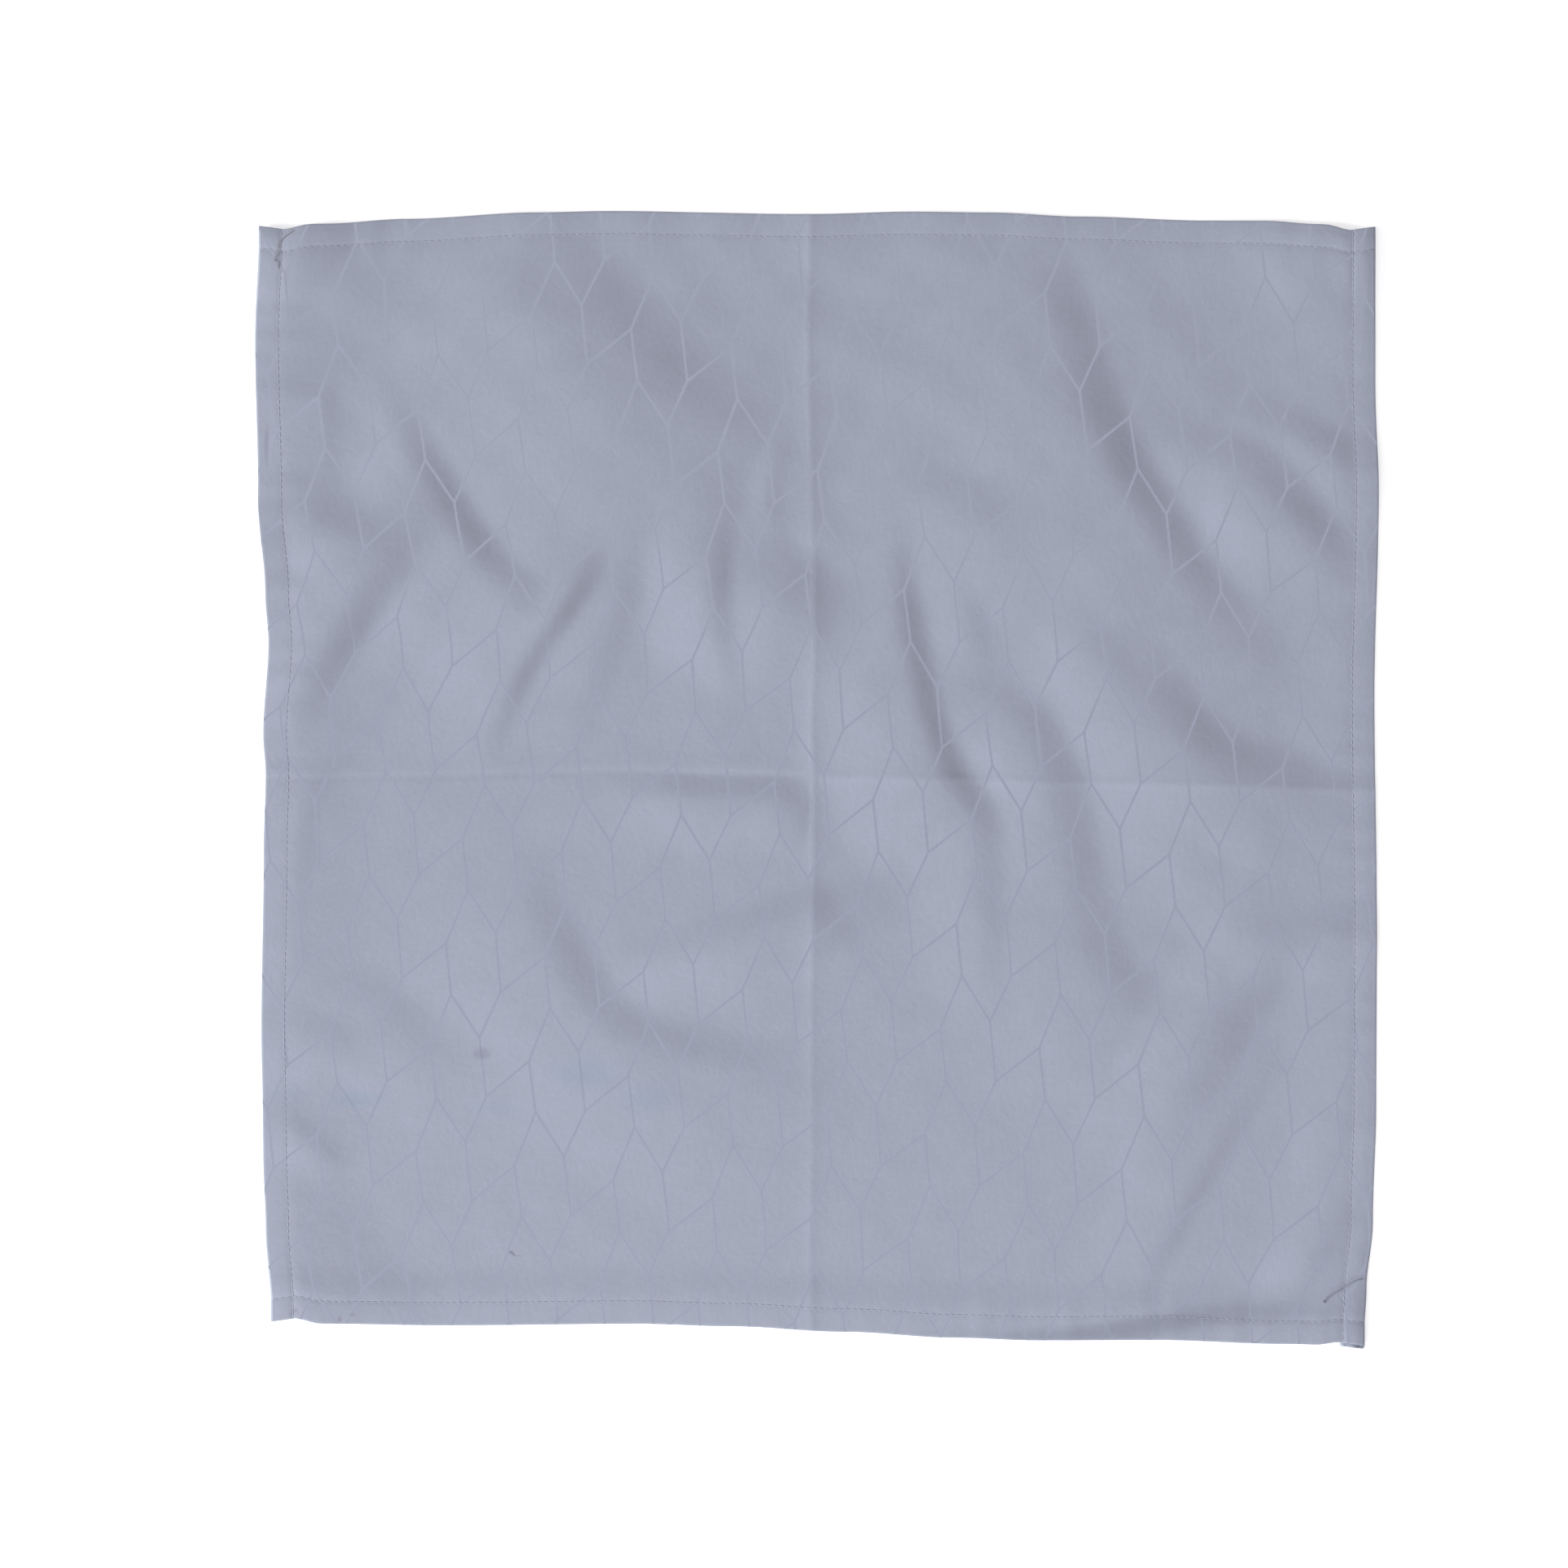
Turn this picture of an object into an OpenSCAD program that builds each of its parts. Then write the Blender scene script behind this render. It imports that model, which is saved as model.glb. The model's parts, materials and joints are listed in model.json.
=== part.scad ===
/* [Cloth] */
// Finished width of the napkin, from the left edge to the right edge
napkin_w = 500; // [300:5:700]
// Finished depth of the napkin, from the top edge to the bottom edge
napkin_d = 500; // [300:5:700]
// Thickness of the woven cloth
cloth_t = 0.35; // [0.2:0.05:0.6]
// How far the edges bow in and out, as a share of what hand laying leaves
edge_bow = 1; // [0:0.1:1.5]

/* [Hem] */
// Width of the double-turned hem on all four sides
hem_w = 11.5; // [10:0.5:20]
// Width of the raw edge that is turned in under the hem
turn_in = 8; // [4:0.5:8]
// Air between two layers of a hem
layer_gap = 0.1; // [0.05:0.05:0.3]
// Length over which the panel comes down from the side hems to the table
side_run = 36; // [12:1:50]
// Length over which the panel comes down from the top hem to the table
far_run = 30; // [12:1:50]
// Length over which the panel comes down from the bottom hem to the table
near_run = 12; // [8:1:50]
// How far the side seams pull the top and bottom edges in
seam_pull = 1.6; // [0:0.2:3]

/* [Press creases] */
// Place of the upright press crease, right of the middle
crease_x = -3; // [-20:1:20]
// Place of the level press crease, above the middle
crease_y = -2; // [-20:1:20]
// Height of the press creases, as a share of their own heights
crease_rise = 1; // [0:0.1:2]
// Reach of a press crease to either side
crease_run = 13; // [6:1:25]

/* [Wrinkles] */
// Height of the wrinkles, as a share of their own heights
wrinkle_rise = 1; // [0:0.1:2]
// Width of the wrinkles, as a share of their own widths
wrinkle_spread = 1; // [0.6:0.1:1.4]

/* [Label] */
// Width of the bare sewn-in tape, along the hem
label_w = 29; // [15:1:40]
// Length of the folded tape that shows past the hem
label_l = 18; // [16:1:40]
// Length of the tape that is caught inside the hem
label_tuck = 7; // [3:0.5:7]
// Thickness of the tape
label_t = 0.15; // [0.1:0.05:0.3]
// Length over which the tape comes down from the hem to the table
tape_run = 8; // [4:1:12]
// Place of the middle of the tape, above the middle of the napkin
label_y = 156; // [-200:1:200]

/* [Hidden] */

cloth_colour = [0.64, 0.66, 0.72];
tape_colour = [0.86, 0.87, 0.9];

half_w = napkin_w / 2;
half_d = napkin_d / 2;

// Layers of a hem lie one pitch apart, middle to middle
pitch = cloth_t + layer_gap;
// A pressed fold is only this share as long as it is high
nose = 0.5;
// Clearance round the tape, and the lift that the cloth has over it
tape_clear = 0.05;
tape_stack = 3 * label_t;
tape_lift = tape_stack + 2 * tape_clear;
// Distance over which the cloth settles beside the tape
tape_settle = 12;
// Distance over which it bends again past the stiff tape
stiff_settle = 35;
tape_margin = 3;

// Number of mesh cells over the panel, each way
cells_w = 34;
cells_d = 31;
crease_cell = 5;

// Brings the shoulders of a groove, c * (1 - c)^2, up to a height of 1
shoulder = 27 / 4;
// Where a side of a wrinkle is steepest, as a share of its width from the crest
steepest = 0.577;

// Where a line of the mesh lies: on the panel, at the outer fold,
// at the inner fold or at the raw edge
PANEL = 0;
OUTER = 1;
INNER = 2;
RAW = 3;

// Edges: [place along the edge in percent of half its length, drift in mm]
left_drift = [[-98, 5.5], [-83, 2.9], [-70, 1.8], [-45, 1], [-15, 2], [0, 2.9], [7, 1.8],
              [24, 4.4], [33, 3], [50, -0.4], [80, -1.8], [98, 0]];
right_drift = [[-100, -5.5], [-90, -4], [-78, -1.1], [-57, 0.4], [-26, 0.7], [16, -0.4],
               [52, 1.5], [72, 0], [98, 0]];
top_drift = [[-100, -2.7], [-88, -1.3], [-74, 0.9], [-50, 3.8], [-38, 4.5], [-1, 3.1],
             [16, 4.2], [31, 3.8], [47, 2], [70, 0.2], [80, 0.1], [90, -1.5], [100, -3.4]];
bottom_drift = [[-100, 7.8], [-90, 6.2], [-68, 5.3], [-33, 6], [-16, 4.9], [5, 2.4],
                [25, -0.2], [40, -1.3], [62, -0.9], [85, -2.7], [100, -3.8]];

// Press creases: [place along the crease in percent of half its length, height].
// The upright crease is a ridge, and a groove where its height is negative. The
// level one is a groove on its left half and a ridge on its right half.
upright_crease = [[-100, -0.25], [-75, -0.15], [-60, 0.1], [-18, 0.35], [0, 0.5], [20, 0.25],
                  [50, 0.25], [62, 0.5], [100, 0.5]];
level_crease = [[-100, 0.15], [-60, 0.1], [-42, 0.2], [-20, 0.9], [-6, 0.9], [0, 0.5], [100, 0.5]];
// Share of the level groove's shoulder that stands on its far side
far_shoulder = 0.4;

// Wrinkles: [height, steep width, gentle width, middle line of the steep side].
// Points are in percent of half the width and half the depth. The steep side
// falls to the left of the line's run.
wrinkles = [
    [3.0, 24, 62, [[-90, 88], [-81, 75], [-74, 65], [-67, 55], [-59, 43], [-50, 34], [-40, 30]]],
    [4.4, 22, 40, [[-60, 52], [-72, 40], [-83, 30], [-92, 20], [-97, 8], [-99, -4]]],
    [2.6, 14, 40, [[-36, 46], [-41, 35], [-49, 23], [-56, 9], [-62, -4]]],
    [1.3, 16, 34, [[-31, 48], [-33, 36], [-36, 24], [-40, 14], [-46, 0]]],
    [1.5, 14, 30, [[-14, 58], [-16, 45], [-17, 36], [-16, 23], [-11, 6]]],
    [2.7, 28, 44, [[-20, 47], [-7, 37], [3, 29], [13, 20]]],
    [3.2, 19, 60, [[12, 58], [15.5, 40], [17.5, 28], [20, 15], [24, 4], [31, -8], [36, -22]]],
    [2.6, 22, 34, [[23, 28], [32, 17], [39, 11], [45, 1], [48, -12], [50, -26]]],
    [2.3, 26, 70, [[42, 4], [47, -12], [51, -27], [56, -36], [66, -41], [80, -46]]],
    [4.0, 33, 100, [[36, 122], [43, 95], [47, 79], [54, 63], [63, 49], [71, 37], [82, 25],
                    [92, 14]]],
    [2.7, 26, 30, [[58, 67], [68, 62], [77, 58], [85, 51], [92, 43], [98, 34]]],
    [1.8, 20, 24, [[74, 70], [84, 68], [92, 65], [104, 60]]],
    [3.1, 26, 46, [[52, 36], [60, 23], [67, 14], [76, 8], [86, 4], [95, 0], [105, -5]]],
    [1.0, 20, 26, [[42, 34], [50, 26], [56, 17], [62, 6]]],
    [2.4, 24, 66, [[-54, -6], [-50, -17], [-45, -28], [-37, -41], [-22, -47], [-6, -49], [8, -50]]],
    [2.3, 20, 30, [[-46, -36], [-33, -31], [-20, -27], [-9, -23], [0, -20], [12, -17]]],
    [4.2, 50, 110, [[-66, 110], [-50, 96], [-38, 84], [-26, 73], [-12, 62], [2, 52]]],
    [1.0, 26, 20, [[-84, 76], [-72, 84], [-60, 89], [-48, 91], [-34, 90]]],
    [1.8, 18, 26, [[-104, 56], [-92, 52], [-83, 46], [-74, 40]]],
    [1.0, 18, 22, [[-104, -40], [-92, -43], [-84, -46], [-74, -52]]],
    [1.2, 26, 30, [[-90, -30], [-78, -39], [-66, -48], [-52, -54]]],
    [1.0, 22, 24, [[54, -6], [66, -13], [76, -18], [88, -22]]],
    [1.8, 18, 20, [[72, -30], [82, -27], [92, -24], [104, -21]]],
    [2.6, 24, 30, [[96, -16], [87, -28], [79, -40], [71, -52], [63, -64], [54, -78]]],
    [1.5, 12, 36, [[84, -48], [77, -60], [69, -73], [61, -88], [54, -102]]],
    [3.4, 14, 40, [[22, -96], [44, -97], [60, -96], [75, -95], [90, -94], [112, -92]]]
];

function clamp(q) = min(1, max(0, q));
function ease(q) = let (c = clamp(q)) c * c * (3 - 2 * c);

// A smooth bump that is 1 at 0 and ends at 1
function bump(q) = let (c = clamp(abs(q))) pow(1 - c * c, 2);

// Value at s of a curve that eases from each point of the list to the next
function eased(points, s) =
    let (
        last = len(points) - 2,
        k = max([0, for (n = [0 : last]) if (s >= points[n][0]) n]),
        a = points[k],
        b = points[k + 1]
    )
    a[1] + (b[1] - a[1]) * ease((s - a[0]) / (b[0] - a[0]));

// Places between the marks, no more than one step apart
function stations(marks, step) = [
    for (k = [0 : len(marks) - 2])
        let (gap = marks[k + 1] - marks[k], count = max(1, ceil(gap / step)))
        for (n = [0 : count - 1]) marks[k] + gap * n / count,
    marks[len(marks) - 1]
];

// Lines of the mesh over one hem, from the panel out: [side, where, turn]
function hem_lines(side) = [
    for (turn = [0, 60, 120, 180]) [side, OUTER, turn],
    for (turn = [180, 270, 360]) [side, INNER, turn],
    [side, RAW, 360]
];

function reversed(list) = [for (n = [len(list) - 1 : -1 : 0]) list[n]];

function mesh_lines(marks, step) = concat(
    reversed(hem_lines(-1)),
    [for (place = stations(marks, step)) [sign(place), PANEL, 0, place]],
    hem_lines(1)
);

// Offset from the middle of the centre that a line of the mesh turns about,
// where n plies are folded together
function fold_centre(line, half, n) =
    let (
        outer = half - nose * (pitch * (3 * n - 1) / 2 + cloth_t / 2),
        inner = half - hem_w + nose * (pitch * (2 * n - 1) / 2 + cloth_t / 2)
    )
    line[1] == PANEL ? line[3] :
    line[1] == OUTER ? line[0] * outer :
    line[1] == INNER ? line[0] * inner :
    line[0] * (inner + turn_in);

// Folds a point that lies depth below the face of n plies:
// [offset from the middle, height above the lowest ply]
function fold(line, half, n, depth) =
    let (
        plies = line[1] == PANEL || line[1] == OUTER ? 3 * n - 1 : 2 * n - 1,
        radius = pitch * plies / 2,
        reach = radius - depth
    )
    [fold_centre(line, half, n) + line[0] * nose * reach * sin(line[2]),
     radius + reach * cos(line[2])];

// 1 on the hem band, 0 on the panel past the run
function hem_share(place, half, run) = ease((abs(place) - half + hem_w + run) / run);
function share_w(x) = hem_share(x, half_w, side_run);
function share_d(y) = hem_share(y, half_d, y < 0 ? near_run : far_run);

// Nearest point of one stretch of a crest: [distance, side, share of the whole run]
function to_stretch(p, a, b, k, count) =
    let (
        run = b - a,
        q = clamp(((p - a) * run) / (run * run)),
        away = p - (a + run * q)
    )
    [norm(away), sign(run[0] * away[1] - run[1] * away[0]), (k + q) / count];

function nearest(hits, k, best) =
    k == len(hits) ? best :
    nearest(hits, k + 1, hits[k][0] < best[0] ? hits[k] : best);

// Wrinkles at their real size, each with its middle point and its farthest reach
laid_wrinkles = [
    for (w = wrinkles)
        let (
            line = [for (c = w[3]) [c[0] * half_w / 100, c[1] * half_d / 100]],
            core = line[floor(len(line) / 2)],
            steep = w[1] * wrinkle_spread,
            gentle = w[2] * wrinkle_spread
        )
        [w[0] * wrinkle_rise, steep, gentle, line, core,
         max([for (c = line) norm(c - core)]) + steep + gentle]
];

function wrinkle_height(p, w) =
    norm(p - w[4]) >= w[5] ? 0 :
    let (
        line = w[3],
        count = len(line) - 1,
        hits = [for (k = [0 : count - 1]) to_stretch(p, line[k], line[k + 1], k, count)],
        hit = nearest(hits, 1, hits[0]),
        past_crest = hit[0] * hit[1] + steepest * w[1],
        width = past_crest > 0 ? w[1] : w[2]
    )
    w[0] * bump(past_crest / width) * bump(2 * hit[2] - 1);

function total(list, k = 0) = k == len(list) ? 0 : list[k] + total(list, k + 1);

// A ridge with a sharp crest, and a sharp groove between two soft shoulders
function crease_ridge(d) = pow(1 - clamp(abs(d) / crease_run), 2);
function crease_groove(d) = let (c = clamp(abs(d) / crease_run)) shoulder * c * pow(1 - c, 2);

// Keeps a place on the panel: a hem is stiff across its width, so it lies as
// high as the panel beside it
function on_panel(place, half) = sign(place) * min(abs(place), half - hem_w);

// Height of press creases and wrinkles at a place on the panel
function relief(x, y) =
    let (
        upright = eased(upright_crease, 100 * y / half_d),
        ridge = max(upright, 0) * crease_ridge(x - crease_x),
        groove = max(-upright, 0) * crease_groove(x - crease_x),
        across = ease((x - crease_x) / crease_run + 0.5),
        trough = (y > crease_y ? far_shoulder : 1) * crease_groove(y - crease_y),
        level = eased(level_crease, 100 * x / half_w)
                * ((1 - across) * trough + across * crease_ridge(y - crease_y)),
        place = laid(x, y)
    )
    crease_rise * (max(level, ridge) + groove)
    + total([for (w = laid_wrinkles) wrinkle_height(place, w)]);

// The tape keeps the cloth over it from bending, so it all lies at one height
tape_rise = relief(-half_w + hem_w, label_y);
function stiff_share(x, y) =
    ease((-half_w + hem_w + label_l + tape_margin - x) / stiff_settle + 1)
    * ease((label_w / 2 + tape_margin - abs(y - label_y)) / stiff_settle + 1);

// Height of the laid cloth above the table
function rise(hem_x, hem_y) =
    let (
        x = on_panel(hem_x, half_w),
        y = on_panel(hem_y, half_d),
        stiff = stiff_share(x, y)
    )
    (1 - stiff) * relief(x, y) + stiff * tape_rise;

// Lift of the face of the cloth over the tape
function tape_share(x, y) =
    clamp((-half_w + hem_w + label_l + tape_margin - x) / tape_settle + 1)
    * clamp((label_w / 2 + tape_margin - abs(y - label_y)) / tape_settle + 1);

// Where hand laying and the seams leave a point of the square. The stiff hems
// move without bending across their width.
function laid(x, y) =
    let (
        s = 100 * on_panel(x, half_w) / half_w,
        r = 100 * on_panel(y, half_d) / half_d,
        right = (x / half_w + 1) / 2,
        up = (y / half_d + 1) / 2,
        past_seam = abs(x) - half_w + hem_w,
        seam = past_seam > 0 ? 1 - past_seam / hem_w : ease(1 + past_seam / hem_w),
        pull = seam_pull * seam * sign(y) * ease((abs(y) - half_d + 3 * hem_w) / (2 * hem_w))
    )
    [x + edge_bow * (eased(left_drift, r) * (1 - right) + eased(right_drift, r) * right),
     y + edge_bow * (eased(bottom_drift, s) * (1 - up) + eased(top_drift, s) * up) - pull];

function cloth_point(u, v, w) =
    let (
        stack = fold(v, half_d, 1, -w),
        depth = 2 * pitch - stack[1],
        n = 1 + 2 * share_d(stack[0]),
        place = fold(u, half_w, n, depth),
        settled = 2 * n * pitch * (1 - share_w(place[0])),
        over = tape_lift * tape_share(place[0], stack[0]) * (1 + cos(u[2])) / 2 * (u[1] > OUTER ? 0 : 1)
    )
    [place[0], stack[0], cloth_t / 2 + place[1] - settled + over];

// Centre of a list of points, left to right and front to back
function middle(points) =
    let (xs = [for (p = points) p[0]], ys = [for (p = points) p[1]])
    [(min(xs) + max(xs)) / 2, (min(ys) + max(ys)) / 2];

marks_w = [-half_w + hem_w, -half_w + hem_w + label_l + tape_margin,
           crease_x - crease_cell, crease_x, crease_x + crease_cell,
           half_w - hem_w];
tape_marks = [label_y - label_w / 2 - tape_margin, label_y + label_w / 2 + tape_margin];
crease_marks = [crease_y - crease_cell, crease_y, crease_y + crease_cell];
marks_d = concat(
    [-half_d + hem_w, -half_d + hem_w + near_run],
    label_y > crease_y ? concat(crease_marks, tape_marks) : concat(tape_marks, crease_marks),
    [half_d - hem_w]
);

lines_u = mesh_lines(marks_w, napkin_w / cells_w);
lines_v = mesh_lines(marks_d, napkin_d / cells_d);
nu = len(lines_u);
nv = len(lines_v);

// The two faces of the cloth, still on the square, then laid on the table
function face_points(w) = [
    for (u = lines_u) for (v = lines_v)
        let (p = cloth_point(u, v, w), q = laid(p[0], p[1]))
        [q[0], q[1], p[2] + rise(p[0], p[1])]
];

face_side = face_points(cloth_t / 2);
back_side = face_points(-cloth_t / 2);
cloth_middle = middle(face_side);

// A layer that lies face down is cut along the other diagonal, so that the
// layers of a hem stay parallel
function face_down(line) = line[2] >= 120 && line[2] <= 270;

// The cloth: one sheet, its edges folded twice
module napkin() {
    first = nu * nv;
    function at(i, j) = i * nv + j;
    function cell(i, j) =
        let (a = at(i, j), b = at(i + 1, j), c = at(i + 1, j + 1), d = at(i, j + 1))
        face_down(lines_u[i]) != face_down(lines_v[j]) ? [[a, d, b], [b, d, c]] : [[a, c, b], [a, d, c]];
    cells = [for (i = [0 : nu - 2]) for (j = [0 : nv - 2]) each cell(i, j)];
    rim = concat(
        [for (i = [0 : nu - 1]) at(i, 0)],
        [for (j = [1 : nv - 1]) at(nu - 1, j)],
        [for (i = [nu - 2 : -1 : 0]) at(i, nv - 1)],
        [for (j = [nv - 2 : -1 : 1]) at(0, j)]
    );
    sides = [
        for (k = [0 : len(rim) - 1])
            let (a = rim[k], b = rim[(k + 1) % len(rim)])
            each [[a, b, first + b], [a, first + b, first + a]]
    ];
    backs = [for (f = cells) [first + f[0], first + f[2], first + f[1]]];
    color(cloth_colour)
        translate([-cloth_middle[0], -cloth_middle[1], 0])
            polyhedron(points = concat(face_side, back_side), faces = concat(cells, sides, backs));
}

// The bare tape, folded over and caught in the left hem, under the cloth
module care_label() {
    // Height of the lower side of the tape over its length
    function bed(x) = (pitch + cloth_t) * clamp((-half_w + hem_w + tape_run - x) / tape_run) + tape_clear;
    inner_end = -half_w + hem_w - label_tuck;
    outer_end = -half_w + hem_w + label_l;
    run = [inner_end, -half_w + hem_w, -half_w + hem_w + tape_run, outer_end - tape_stack / 2];
    below = [for (x = run) [x, bed(x)]];
    slit_low = [for (x = run) [x, bed(x) + label_t]];
    slit_high = [for (x = run) [x, bed(x) + 2 * label_t]];
    above = [for (x = run) [x, bed(x) + tape_stack]];
    turn = [for (a = [-60 : 30 : 60]) [run[3] + tape_stack / 2 * cos(a),
                                       bed(run[3]) + tape_stack / 2 * (1 + sin(a))]];
    slit_turn = [[run[3] + label_t / 2, bed(run[3]) + tape_stack / 2]];
    profile = concat(below, turn, reversed(above), slit_high, slit_turn, reversed(slit_low));
    shift = laid(-half_w, label_y);
    color(tape_colour)
        translate([shift[0] + half_w - cloth_middle[0], shift[1] + label_w / 2 - cloth_middle[1], tape_rise])
            rotate([90, 0, 0])
                linear_extrude(height = label_w)
                    polygon(profile);
}

napkin();
care_label();
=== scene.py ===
# %% [markdown]
# # A cloth napkin, laid out flat
# The real object is one square of damask cloth with a turned and stitched hem on
# all four sides, a loose thread at two corners and a small folded tape in the
# left hem. The solids hold the folded cloth and the tape. This lesson gives them
# their fine form and finish: soft wrinkles, puckered seams, sewing thread, the
# woven line figure, a few marks of use, and a little painted shade and sheen.

import json
import math

import bmesh
import bpy
import numpy as np
from mathutils import Matrix, Vector

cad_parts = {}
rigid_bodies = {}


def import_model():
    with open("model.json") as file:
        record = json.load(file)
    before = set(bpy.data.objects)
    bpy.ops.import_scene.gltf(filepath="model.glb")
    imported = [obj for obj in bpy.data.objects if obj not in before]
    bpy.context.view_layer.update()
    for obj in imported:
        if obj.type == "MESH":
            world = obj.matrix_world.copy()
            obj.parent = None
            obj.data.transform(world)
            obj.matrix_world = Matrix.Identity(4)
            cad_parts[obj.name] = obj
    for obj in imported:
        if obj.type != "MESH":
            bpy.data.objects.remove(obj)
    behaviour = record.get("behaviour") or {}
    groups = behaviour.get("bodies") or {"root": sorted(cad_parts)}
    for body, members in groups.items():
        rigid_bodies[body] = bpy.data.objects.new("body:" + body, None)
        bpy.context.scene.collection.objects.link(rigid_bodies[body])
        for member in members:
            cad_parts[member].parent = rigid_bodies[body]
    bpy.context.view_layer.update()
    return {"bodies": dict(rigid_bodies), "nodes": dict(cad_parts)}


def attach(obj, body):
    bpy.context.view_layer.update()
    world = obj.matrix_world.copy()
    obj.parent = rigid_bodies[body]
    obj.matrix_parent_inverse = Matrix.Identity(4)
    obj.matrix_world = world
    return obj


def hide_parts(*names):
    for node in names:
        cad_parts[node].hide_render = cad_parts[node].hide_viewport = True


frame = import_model()
BODY = list(frame["bodies"])[0]
MM = 0.001
print("body:", BODY, "solids:", sorted(frame["nodes"]))

# %% [markdown]
# The camera comes first. The photograph looks straight down from high above, so a
# long lens far away keeps the square square. The picture is square too, and the
# napkin fills about seven tenths of it, a little right of the middle.

# %% Camera
PIXELS_PER_MM = 2.75
PHOTO_SIZE = 1932
PHOTO_MIDDLE = (1006.5, 961.0)
CAMERA_HEIGHT = 3.0
SENSOR = 36.0


def from_photo(px, py):
    """Place on the table, in millimetres, of a pixel of the photograph."""
    return ((px - PHOTO_MIDDLE[0]) / PIXELS_PER_MM, (PHOTO_MIDDLE[1] - py) / PIXELS_PER_MM)


view_width = PHOTO_SIZE / PIXELS_PER_MM * MM
lens = bpy.data.cameras.new("overhead_camera")
lens.sensor_width = SENSOR
lens.lens = SENSOR * CAMERA_HEIGHT / view_width
camera = bpy.data.objects.new("overhead_camera", lens)
aim_x, aim_y = from_photo(PHOTO_SIZE / 2, PHOTO_SIZE / 2)
camera.location = (aim_x * MM, aim_y * MM, CAMERA_HEIGHT)
bpy.context.scene.collection.objects.link(camera)
bpy.context.scene.camera = camera
bpy.context.scene.view_settings.view_transform = "Standard"
print("lens:", round(lens.lens, 1), "mm, view:", round(view_width, 3), "m wide")

# %% [markdown]
# Shader maths is easier to read as plain expressions. A Signal wraps one output of
# a node, and each sum or product of signals adds a Math node. A Finish is one
# material, and its node method adds any other node.

# %% Shader helpers
STEEP_UPWARD = (0.5, 0.8)  # upward share of a normal: steep below the first, level past the second


class Signal:
    """A number that varies over a surface."""

    def __init__(self, finish, socket):
        self.finish = finish
        self.socket = socket

    def math(self, operation, *others):
        return self.finish.node("ShaderNodeMath", {"operation": operation}, [self, *others])

    def __add__(self, other):
        return self.math("ADD", other)

    def __radd__(self, other):
        return self.math("ADD", other)

    def __sub__(self, other):
        return self.math("SUBTRACT", other)

    def __rsub__(self, other):
        return self.math("MULTIPLY_ADD", -1.0, other)

    def __mul__(self, other):
        return self.math("MULTIPLY", other)

    def __rmul__(self, other):
        return self.math("MULTIPLY", other)

    def __truediv__(self, other):
        return self.math("DIVIDE", other)

    def __pow__(self, other):
        return self.math("POWER", other)

    def size(self):
        return self.math("ABSOLUTE")

    def wave(self):
        return self.math("SINE")

    def stepped(self, step):
        return self.math("SNAP", step)

    def wrapped(self):
        """The signed distance to the nearest whole number."""
        return (self + 0.5).math("FRACT") - 0.5

    def least(self, other):
        return self.math("MINIMUM", other)

    def most(self, other):
        return self.math("MAXIMUM", other)

    def fade(self, start, end):
        """1 below start, 0 above end, and smooth between them."""
        settings = {"interpolation_type": "SMOOTHSTEP"}
        return self.finish.node("ShaderNodeMapRange", settings, [self, start, end, 1.0, 0.0])


class Finish:
    """One material with a Principled shader."""

    def __init__(self, name):
        self.material = bpy.data.materials.new(name)
        self.material.use_nodes = True
        self.tree = self.material.node_tree
        self.shader = self.tree.nodes["Principled BSDF"]

    def node(self, kind, settings=None, inputs=(), output=0):
        """Adds a node: its settings first, then the values or links of its sockets."""
        made = self.tree.nodes.new(kind)
        for name, value in (settings or {}).items():
            setattr(made, name, value)
        pairs = inputs.items() if isinstance(inputs, dict) else enumerate(inputs)
        for place, value in pairs:
            if isinstance(value, Signal):
                self.tree.links.new(value.socket, made.inputs[place])
            elif value is not None:
                made.inputs[place].default_value = value
        return Signal(self, made.outputs[output])

    def parts(self, vector):
        """The three numbers of a vector."""
        made = self.tree.nodes.new("ShaderNodeSeparateXYZ")
        self.tree.links.new(vector.socket, made.inputs[0])
        return [Signal(self, out) for out in made.outputs]

    def joined(self, x, y, z=0.0):
        return self.node("ShaderNodeCombineXYZ", None, [x, y, z])

    def noise(self, vector, scale, detail=2.0):
        """Soft noise around 0.5."""
        return self.node("ShaderNodeTexNoise", None,
                         {"Vector": vector, "Scale": scale, "Detail": detail})

    def blend(self, share, first, second, how="MIX"):
        """A colour that goes from first to second as share goes from 0 to 1."""
        settings = {"data_type": "RGBA", "blend_type": how}
        return self.node("ShaderNodeMix", settings, {0: share, 6: first, 7: second}, 2)

    def leaned(self, direction, factor):
        """A direction with its lean from upright scaled by a factor, if it isn't steep."""
        x, y, z = self.parts(direction)
        steep = z.size().fade(*STEEP_UPWARD)
        lean = steep + (1 - steep) * factor
        made = self.joined(x * lean, y * lean, z)
        return self.node("ShaderNodeVectorMath", {"operation": "NORMALIZE"}, [made])

    def bump(self, height, distance):
        return self.node("ShaderNodeBump", None, {"Distance": distance, "Height": height})

    def put(self, **sockets):
        for name, value in sockets.items():
            place = self.shader.inputs[name.replace("_", " ")]
            if isinstance(value, Signal):
                self.tree.links.new(value.socket, place)
            else:
                place.default_value = value


def srgb(red, green, blue):
    """A colour as a picture shows it, in the linear values that shaders use."""
    def linear(c):
        c = c / 255
        return c / 12.92 if c <= 0.04045 else ((c + 0.055) / 1.055) ** 2.4
    return (linear(red), linear(green), linear(blue), 1.0)


BLACK = (0.0, 0.0, 0.0, 1.0)
WHITE = (1.0, 1.0, 1.0, 1.0)
print("shader helpers ready")

# %% [markdown]
# The table is a white floor. To the camera and in reflections it glows a little, so
# that it reads as the bare white of the photograph, and it still darkens where the
# napkin shades it. One wide lamp stands low and far off at the left, and draws the
# far side of each wrinkle dark. A small one on the near side makes the light fall
# off slowly towards the far edge, and the pale world fills the rest.

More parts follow.
